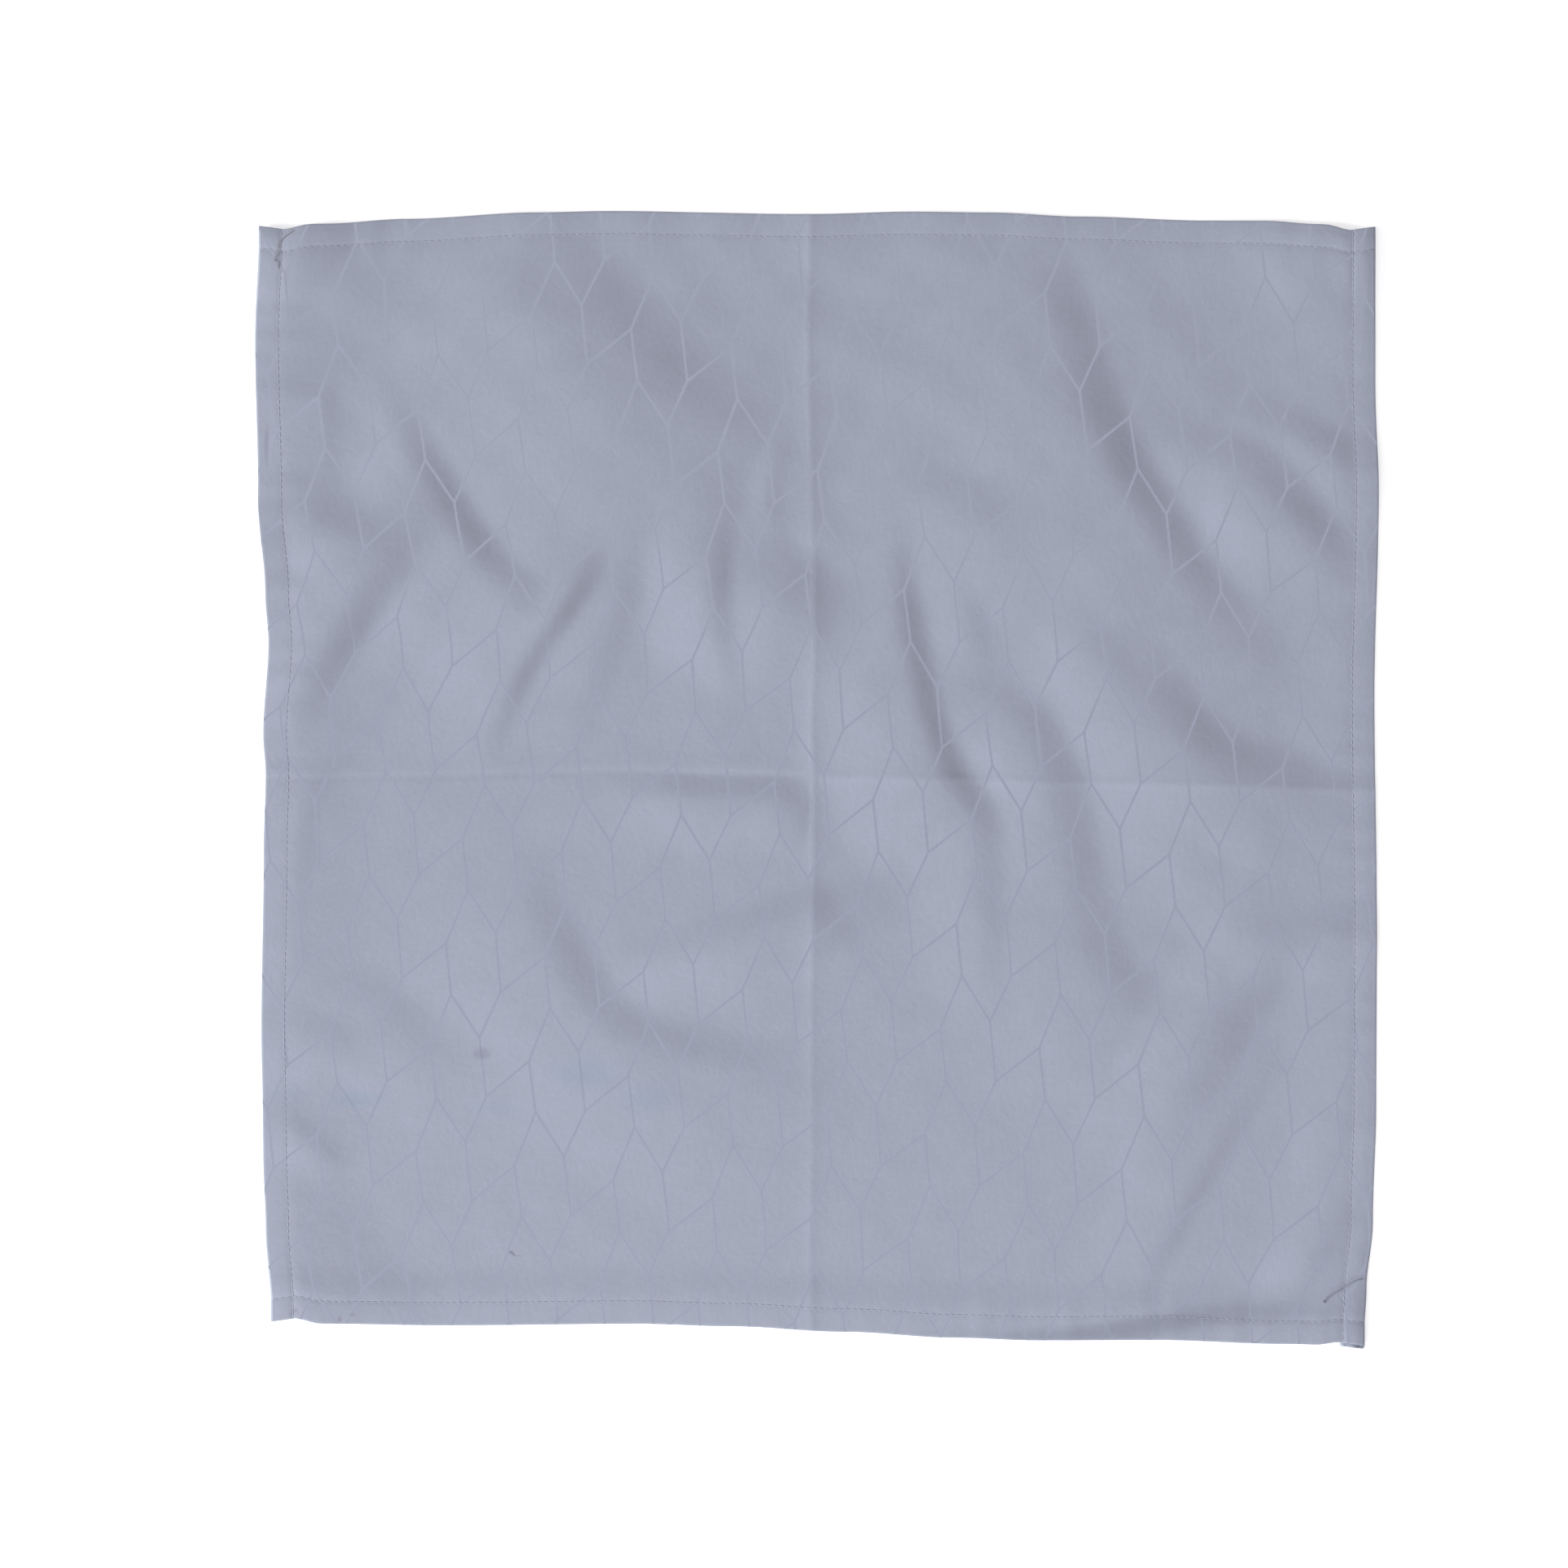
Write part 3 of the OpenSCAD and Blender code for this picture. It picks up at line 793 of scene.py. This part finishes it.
def face_height(x, y):
    """Height of the face of the cloth over the lowest ply, at a place of the square."""
    stack = 1 + 2 * stack_share(y)
    stacked = CLOTH_T + PITCH * (2 * share_y(y) + 2 * stack * share_x(x, y))
    return stacked * press(x, y) + LABEL_LIFT * tape_share(x, y)


print("middle of the laid square:", round(middle_x, 2), round(middle_y, 2), "mm")

# %% Cloth mesh


def sheet_grid(shape, places, cut_u, cut_v, uv):
    """Adds one side of the sheet as a grid whose corners go to the given places."""
    nu, nv = places.shape[:2]
    made = bmesh.ops.create_grid(shape, x_segments=nu - 1, y_segments=nv - 1, size=1.0)
    ring = sorted(made["verts"], key=lambda v: (round(v.co.x, 6), round(v.co.y, 6)))
    flat = places.reshape(-1, 3)
    lengths = {}
    for k, vert in enumerate(ring):
        vert.co = flat[k]
        lengths[vert] = (cut_u[k // nv] * MM, cut_v[k % nv] * MM)
    for face in {f for v in ring for f in v.link_faces}:
        for loop in face.loops:
            loop[uv].uv = lengths[loop.vert]
    return ring


def make_cloth():
    cut_u = lines_u["side"] * lines_u["length"]
    cut_v = lines_v["side"] * lines_v["length"]
    shape = bmesh.new()
    uv = shape.loops.layers.uv.new("cut_cloth")
    sides = []
    for x, y, z in (face_flat, back_flat):
        sides.append(sheet_grid(shape, finished((x, fanned(x, y), z)), cut_u, cut_v, uv))
    bmesh.ops.reverse_faces(shape, faces=list({f for v in sides[1] for f in v.link_faces}))
    rims = [e for e in shape.edges if len(e.link_faces) == 1]
    strips = set(bmesh.ops.bridge_loops(shape, edges=rims)["faces"])
    for strip in strips:
        for loop in strip.loops:
            beside = next(o for o in loop.vert.link_loops if o.face not in strips)
            loop[uv].uv = beside[uv].uv
    return add_mesh("napkin_cloth", shape)


cloth = make_cloth()
print("cloth:", len(cloth.data.vertices), "corners,", len(cloth.data.polygons), "faces")

# %% [markdown]
# The cloth is a satin damask. Its ground is a smooth warp satin, which shines, and
# its figure is a net of fine lines in the duller weft. The net is a repeat of one
# slanted cell with six branches. A point is measured against each branch in the
# cell's own coordinates, so that every repeat is found at once. Steps as wide as a
# few threads leave the lines with the small teeth that weaving gives them.

# %% Damask figure
CELL_A = np.array([44.4, -7.1])
CELL_B = np.array([-6.85, -46.9])
TOP_NODE = np.array([12.4, -129.1])
LEFT_NODE = TOP_NODE + (-9.5, -23.9)
RIGHT_NODE = TOP_NODE + (12.8, -20.0)
LOW_NODE = TOP_NODE + (15.4, -46.6)
BRANCHES = [
    (TOP_NODE, LEFT_NODE),
    (TOP_NODE, RIGHT_NODE),
    (LEFT_NODE, TOP_NODE + CELL_B),
    (LEFT_NODE, LOW_NODE - CELL_A),
    (RIGHT_NODE, LOW_NODE),
    (LOW_NODE, RIGHT_NODE + CELL_B),
]
LINE_HALF = 0.54
TOOTH = 0.4


def from_branches(across, up):
    """Distance in millimetres from a place of the cut cloth to the nearest branch."""
    turn = np.linalg.inv(np.column_stack([CELL_A, CELL_B]))
    column = across * turn[0, 0] + up * turn[0, 1]
    row = across * turn[1, 0] + up * turn[1, 1]
    nearest = None
    for start, end in BRANCHES:
        middle = turn @ (start + end) / 2
        half_run = np.hypot(*(end - start)) / 2
        along_way = (end - start) / 2 / half_run
        out_way = np.array([-along_way[1], along_way[0]])
        i = (column - middle[0]).wrapped()
        j = (row - middle[1]).wrapped()
        along = i * (CELL_A @ along_way) + j * (CELL_B @ along_way)
        out = i * (CELL_A @ out_way) + j * (CELL_B @ out_way)
        past = (along.size() - half_run).most(0.0)
        gap = (past * past + out * out) ** 0.5
        nearest = gap if nearest is None else nearest.least(gap)
    return nearest


print("branches in a cell:", len(BRANCHES))

# %% [markdown]
# The napkin has been used. A grey smudge, a dark speck with a fibre, a few pale blue
# smears and some small brownish stains have stayed. A narrow dark oval beside the
# tape is painted shade, not a mark of use. The tape behind the cloth shows through
# as a paler patch. Each mark is an oval round a pixel of the photograph: the place,
# the reach across and up in pixels, and its strength.

# %% Marks of use and a painted shade
# The second oval, the narrow one beside the tape, is painted shade, not a mark of use.
SMUDGE_AND_PAINTED_SHADE = [(594, 1298, 15, 10, 1.0), (329, 548, 4, 36, 1.0)]
SPECKS = [(630, 1543, 4.0, 2.6, 1.0), (633, 1545.5, 2.6, 2.0, 1.0), (638, 1547, 8, 1.3, 0.45)]
SMEARS = [(440, 1354, 45, 16, 1.0), (720, 1322, 62, 28, 1.0), (612, 1365, 50, 12, 0.8),
          (800, 1352, 50, 24, 0.9), (355, 1348, 40, 10, 0.5)]
STAINS = [(364, 1614, 5, 4, 1.0), (360, 1618, 3, 3, 0.8), (419, 1625, 4, 6, 1.0),
          (421, 1632, 7, 3, 1.1), (435, 1619, 5, 3, 0.8), (409, 1562, 3, 2, 0.5)]
MARKS = [
    # This tint darkens both the grey smudge and the painted shade beside the tape.
    (SMUDGE_AND_PAINTED_SHADE, (0.84, 0.83, 0.86, 1.0)),
    (SPECKS, (0.6, 0.57, 0.6, 1.0)),
    (SMEARS, (0.92, 0.97, 1.0, 1.0)),
    (STAINS, (0.84, 0.77, 0.78, 1.0)),
]
FULL_UP_TO = 0.3
PATCH = 0.03
PATCH_TUCK = 8.0
PATCH_EDGE = 0.8


def oval(finish, across, up, mark):
    """The strength of a mark inside its oval, and 0 outside it."""
    px, py, reach_x, reach_y, strength = mark
    x, y = from_photo(px, py)
    away_x = (across - x) / (reach_x / PIXELS_PER_MM)
    away_y = (up - y) / (reach_y / PIXELS_PER_MM)
    return ((away_x * away_x + away_y * away_y) ** 0.5).fade(FULL_UP_TO, 1.0) * strength


def marked(finish, colour, across, up, marks, tint):
    """The colour with all marks of one kind on it."""
    share = None
    for mark in marks:
        one = oval(finish, across, up, mark)
        share = one if share is None else share.most(one)
    return finish.blend(share, colour, tint, "MULTIPLY")


def patch_share(u, v):
    """1 where the tape lies behind the cloth."""
    middle = -(HALF_W - HEM_W - (LABEL_L - PATCH_TUCK) / 2)
    past = (u - middle).size() - (LABEL_L + PATCH_TUCK) / 2
    beside = (v - LABEL_Y).size() - LABEL_W / 2
    return past.most(beside).fade(-PATCH_EDGE, PATCH_EDGE)


print("marks:", sum(len(marks) for marks, _ in MARKS))

# %% [markdown]
# The cloth is a pale blue grey, a little uneven from thick threads and from wear. Its
# hems are a shade paler, and on the near one painted shade takes most of that back.
# The figure's threads cross those of the ground, so it shines unlike the ground: it
# is the paler one on slopes away from the lamp, and the darker one on slopes towards
# it. To show that, its normal is turned upright and a little past it. Its lines also
# get paler towards the far edge, which is painted sheen. Fine ribs of thread and a
# soft nap give the surface its grain.

# %% Cloth finish
GROUND = srgb(157, 163, 180)
# Line colours near and far: the change between them is painted sheen.
NEAR_LINE = srgb(151, 158, 175)
FAR_LINE = srgb(158, 164, 181)
LINE_SHEEN_SPAN = (-40.0, 170.0)
LINE_SOFT = 0.15
PER_METRE = 1000
SLUB_LONG = 0.12
SLUB_FINE = 3
SLUB_TONE = 0.10
PATCHES = {"scale": 0.09, "detail": 3.0}
PATCHES_TONE = 0.10
HEM_SHADE = 0.03
# Painted shade that darkens the near hem again.
NEAR_HEM_PAINTED_SHADE = 0.025
HEM_EDGE = 0.3
GROUND_ROUGHNESS = 0.56
LINE_ROUGHNESS = 1.0
SHEEN = 0.05
SHEEN_ROUGHNESS = 0.5
SHINE = 0.6
THREAD_STEP = 0.32
RIB_HEIGHT = 0.015
LINE_HEIGHT = 0.02
NAP = {"scale": 0.35, "detail": 3.0}
NAP_HEIGHT = 0.12
FIGURE_LEAN = 1.15


def make_cloth_finish():
    finish = Finish("satin_damask")
    cut = finish.node("ShaderNodeUVMap", {"uv_map": "cut_cloth"})
    u, v, _ = finish.parts(cut)
    u = u * PER_METRE
    v = v * PER_METRE
    gap = from_branches(u.stepped(TOOTH), v.stepped(TOOTH))
    figure = gap.fade(LINE_HALF - LINE_SOFT, LINE_HALF + LINE_SOFT)

    # Painted sheen: the figure's lines turn paler towards the far edge.
    line = finish.blend(v.fade(*LINE_SHEEN_SPAN), FAR_LINE, NEAR_LINE)
    colour = finish.blend(figure, GROUND, line)
    slubs_u = finish.noise(finish.joined(u * SLUB_FINE, v * SLUB_LONG), 1.0)
    slubs_v = finish.noise(finish.joined(u * SLUB_LONG, v * SLUB_FINE), 1.0)
    patches = finish.noise(finish.joined(u, v), **PATCHES)
    tone = (slubs_u + slubs_v - 1) * SLUB_TONE + (patches - 0.5) * PATCHES_TONE
    seam = HALF_W - HEM_W + SEAM_INSET
    hem = (u.size().most(v.size()) - seam).fade(-HEM_EDGE, HEM_EDGE)
    # Painted shade: the near hem is made darker, which takes back most of its paleness.
    near_hem_painted_shade = (v + seam).fade(-HEM_EDGE, HEM_EDGE)
    tone = tone + (1 - hem) * HEM_SHADE - near_hem_painted_shade * NEAR_HEM_PAINTED_SHADE + patch_share(u, v) * PATCH
    lighter = (tone + 1).most(0.0)
    colour = finish.blend(1.0, colour, finish.joined(lighter, lighter, lighter), "MULTIPLY")
    place = finish.node("ShaderNodeTexCoord", output="Object")
    across, up, _ = finish.parts(place)
    across = across * PER_METRE
    up = up * PER_METRE
    for marks, tint in MARKS:
        colour = marked(finish, colour, across, up, marks, tint)
    duller = figure * (LINE_ROUGHNESS - GROUND_ROUGHNESS)
    finish.put(Base_Color=colour, Roughness=GROUND_ROUGHNESS + duller)
    finish.put(Sheen_Weight=SHEEN, Sheen_Roughness=SHEEN_ROUGHNESS, Specular_IOR_Level=SHINE)

    turns = 2 * math.pi / THREAD_STEP
    ribs = (u * turns).wave() * (v * turns).wave()
    nap = finish.noise(finish.joined(u, v), **NAP)
    height = ribs * RIB_HEIGHT + figure * LINE_HEIGHT + nap * NAP_HEIGHT
    woven = finish.bump(height, MM)
    finish.put(Normal=finish.leaned(woven, 1 - figure * FIGURE_LEAN))
    return finish.material


cloth.data.materials.append(make_cloth_finish())
print("nodes in the cloth finish:", len(cloth.data.materials[0].node_tree.nodes))

# %% [markdown]
# The seams are lock stitches, three millimetres long. Every stitch is a short
# rounded bead of thread that dips into the cloth at both ends. A sphere of a few
# faces, stretched along the seam, is enough for each of more than a thousand. A
# thinner row of them lies on the back of each seam.

# %% Stitches
STITCH = 3.0
STITCH_GAP = 0.55
THREAD_HALF = 0.17
FACE_END = 0.8
FACE_RISE = 0.04
UNDER_HALF = 0.09
UNDER_END = {"upright": 1.0, "level": HEM_W + 0.5}
UNDER_RISE = 0.05


def seam_places(way, side, end_gap):
    """Ends of the stitches of one seam, on the flat square."""
    end = HALF_W - end_gap
    count = round(2 * end / STITCH)
    along = np.linspace(-end, end, count + 1)
    seam = np.full_like(along, side * (HALF_W - HEM_W + SEAM_INSET))
    return (seam, along) if way == "upright" else (along, seam)


def make_bead():
    """One stitch as a mesh of unit size, long along Z."""
    shape = bmesh.new()
    bmesh.ops.create_uvsphere(shape, u_segments=6, v_segments=4, radius=1.0)
    bead = bpy.data.meshes.new("bead")
    shape.to_mesh(bead)
    shape.free()
    return bead


def add_seam(shape, bead, x, y, height, thickness):
    """Adds a copy of the bead between each two holes of a seam."""
    ends = finished((x, y, height))
    for start, end in zip(ends[:-1], ends[1:]):
        start, end = Vector(start), Vector(end)
        run = end - start
        turn = run.to_track_quat("Z", "X").to_matrix().to_4x4()
        long = run.length / 2 - STITCH_GAP / 2 * MM
        size = Matrix.Diagonal((thickness * MM, THREAD_HALF * MM, long, 1.0))
        copy = bead.copy()
        copy.transform(Matrix.Translation((start + end) / 2) @ turn @ size)
        shape.from_mesh(copy)
        bpy.data.meshes.remove(copy)


def make_stitches():
    shape = bmesh.new()
    bead = make_bead()
    for way, under_end in UNDER_END.items():
        for side in (-1, 1):
            x, y = seam_places(way, side, FACE_END)
            add_seam(shape, bead, x, y, face_height(x, y) + FACE_RISE, THREAD_HALF)
            x, y = seam_places(way, side, under_end)
            add_seam(shape, bead, x, y, np.full_like(x, UNDER_RISE), UNDER_HALF)
    bpy.data.meshes.remove(bead)
    return add_mesh("seam_stitches", shape)


stitches = make_stitches()
print("stitch faces:", len(stitches.data.polygons))

# %% [markdown]
# Two ends of thread were left long. One lies in a small loop at the far left
# corner. The other starts in a knot near the near right corner and reaches the
# edge. Each is a curve with a round bevel, laid on the cloth by dropping its
# points onto it, and turned into a mesh.

# %% Loose threads
LOOP_TAIL = [(363, 285), (354, 291), (347, 297), (343, 304), (342, 315), (339, 319), (338, 322),
             (341, 324), (344, 322), (343, 327), (344, 332)]
LONG_TAIL = [(1631, 1603), (1633, 1599), (1643, 1592), (1654, 1586), (1662, 1580), (1671, 1576),
             (1678, 1575), (1684, 1577)]
LOOP_LIFT = 0.3
LONG_LIFT = 0.7
TAIL_HALF = 0.15
KNOT_SIZE = 0.16
KNOT_STEPS = 24
DROP_FROM = 0.1


def surface_height(x, y):
    """Height of the cloth at a place on the table, in metres."""
    hit, place, _, _ = cloth.ray_cast((x, y, DROP_FROM), (0, 0, -1))
    return place.z if hit else 0.0


def add_thread(name, points, half):
    """A round thread through the points, as a mesh at the origin."""
    curve = bpy.data.curves.new(name, "CURVE")
    curve.dimensions = "3D"
    curve.bevel_depth = half * MM
    curve.bevel_resolution = 2
    curve.resolution_u = 4
    curve.use_fill_caps = True
    spline = curve.splines.new("NURBS")
    spline.points.add(len(points) - 1)
    for point, place in zip(spline.points, points):
        point.co = (*place, 1.0)
    spline.use_endpoint_u = True
    spline.order_u = 3
    holder = bpy.data.objects.new(name, curve)
    bpy.context.scene.collection.objects.link(holder)
    bpy.context.view_layer.update()
    depsgraph = bpy.context.evaluated_depsgraph_get()
    mesh = bpy.data.meshes.new_from_object(holder.evaluated_get(depsgraph))
    bpy.data.objects.remove(holder)
    mesh.name = name
    for polygon in mesh.polygons:
        polygon.use_smooth = True
    made = bpy.data.objects.new(name, mesh)
    bpy.context.scene.collection.objects.link(made)
    return made


def on_cloth(pixels, lift):
    """Points of a thread that lies on the cloth, with a lift in the middle of it."""
    points = []
    for k, pixel in enumerate(pixels):
        x, y = (part * MM for part in from_photo(*pixel))
        bow = lift * math.sin(math.pi * k / (len(pixels) - 1))
        points.append((x, y, surface_height(x, y) + (TAIL_HALF + bow) * MM))
    return points


def trefoil(x, y, z):
    """A small closed knot round a place."""
    points = []
    for t in np.linspace(0, 2 * math.pi, KNOT_STEPS, endpoint=False):
        points.append((x + KNOT_SIZE * MM * (math.sin(t) + 2 * math.sin(2 * t)),
                       y + KNOT_SIZE * MM * (math.cos(t) - 2 * math.cos(2 * t)),
                       z - KNOT_SIZE * MM * math.sin(3 * t)))
    return points


bpy.context.view_layer.update()
long_route = on_cloth(LONG_TAIL, LONG_LIFT)
tails = [add_thread("corner_tail", on_cloth(LOOP_TAIL, LOOP_LIFT), TAIL_HALF),
         add_thread("loose_tail", trefoil(*long_route[0]) + long_route, TAIL_HALF)]
print("threads:", [len(tail.data.polygons) for tail in tails])

# %% Thread finish
SEAM_THREAD = srgb(172, 177, 190)
PALE_TAIL = srgb(166, 162, 164)
DARK_TAIL = srgb(128, 130, 146)
TWIST = {"scale": 4000.0, "detail": 1.0}
TWIST_DARK = 0.8
TWIST_HEIGHT = 0.05
THREAD_ROUGHNESS = 0.6


def make_thread_finish(name, colour):
    finish = Finish(name)
    place = finish.node("ShaderNodeTexCoord", output="Object")
    twist = finish.noise(place, **TWIST)
    dark = tuple(TWIST_DARK * part for part in colour[:3]) + (1.0,)
    finish.put(Base_Color=finish.blend(twist, dark, colour), Roughness=THREAD_ROUGHNESS)
    finish.put(Normal=finish.bump(twist, TWIST_HEIGHT * MM))
    return finish.material


stitches.data.materials.append(make_thread_finish("seam_thread", SEAM_THREAD))
tails[0].data.materials.append(make_thread_finish("pale_tail_thread", PALE_TAIL))
tails[1].data.materials.append(make_thread_finish("dark_tail_thread", DARK_TAIL))
print("thread roughness:", THREAD_ROUGHNESS)

# %% [markdown]
# The tape in the left hem is a bare white ribbon, folded in two. It is modelled as
# one strip that runs out from the hem, turns and comes back, and it gets its
# thickness from a Solidify modifier.

# %% Folded tape
TAPE_CLEAR = 0.05
TAPE_CELLS = 12
TAPE_STEPS = 16
TAPE_WALL = 0.9 * LABEL_T
BEND_TURNS = (-60, -30, 0, 30, 60)
RIBBON_STEP = 0.4
RIBBON_HEIGHT = 0.02
RIBBON_SOFT = 900.0
RIBBON_DARK = srgb(214, 216, 220)
RIBBON_PALE = srgb(226, 227, 230)
RIBBON_ROUGHNESS = 0.45


def tape_path():
    """Centre line of the strip: places across the napkin and heights."""
    start = -HALF_W + HEM_W - LABEL_TUCK
    turn = -HALF_W + HEM_W + LABEL_L - 1.5 * LABEL_T
    low = TAPE_CLEAR + LABEL_T / 2

    def bed(x):
        return (PITCH + CLOTH_T) * clamp((abs(x) - HALF_W + HEM_W + HEM_RUN) / HEM_RUN)

    run = list(np.linspace(start, turn, TAPE_STEPS))
    out = [(x, bed(x) + low) for x in run]
    bend = [(turn + LABEL_T * math.cos(a), bed(turn) + low + LABEL_T * (1 + math.sin(a)))
            for a in np.radians(BEND_TURNS)]
    home = [(x, bed(x) + low + 2 * LABEL_T) for x in reversed(run)]
    return out + bend + home


def make_tape():
    path = tape_path()
    shape = bmesh.new()
    made = bmesh.ops.create_grid(shape, x_segments=len(path) - 1, y_segments=TAPE_CELLS, size=0.5)
    order = sorted(made["verts"], key=lambda v: (round(v.co.x, 6), round(v.co.y, 6)))
    shift_x, shift_y = laid(np.array(-HALF_W), np.array(LABEL_Y))
    for k, vert in enumerate(order):
        x, z = path[k // (TAPE_CELLS + 1)]
        vert.co = Vector((x + float(shift_x) + HALF_W - middle_x,
                          vert.co.y * LABEL_W + float(shift_y) - middle_y,
                          z + TAPE_RISE)) * MM
    tape = add_mesh("folded_tape", shape)
    wall = tape.modifiers.new("thickness", "SOLIDIFY")
    wall.thickness = TAPE_WALL * MM
    wall.offset = 0.0
    return tape


def make_tape_finish():
    finish = Finish("bare_ribbon")
    place = finish.node("ShaderNodeTexCoord", output="Object")
    x, y, _ = finish.parts(place)
    turns = 2 * math.pi / (RIBBON_STEP * MM)
    rows = (y * turns).wave() * (x * turns).wave()
    soft = finish.noise(place, RIBBON_SOFT)
    finish.put(Base_Color=finish.blend(soft, RIBBON_DARK, RIBBON_PALE))
    finish.put(Roughness=RIBBON_ROUGHNESS + soft * 0.1)
    finish.put(Normal=finish.bump(rows, RIBBON_HEIGHT * MM))
    return finish.material


tape = make_tape()
tape.data.materials.append(make_tape_finish())
print("tape faces:", len(tape.data.polygons))

# %% [markdown]
# Last, each piece is tied to the body it moves with, and the solids are hidden.

# %% Tie the pieces to the frame
for piece in (cloth, stitches, tape, *tails):
    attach(piece, BODY)
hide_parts("napkin")
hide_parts("care_label")
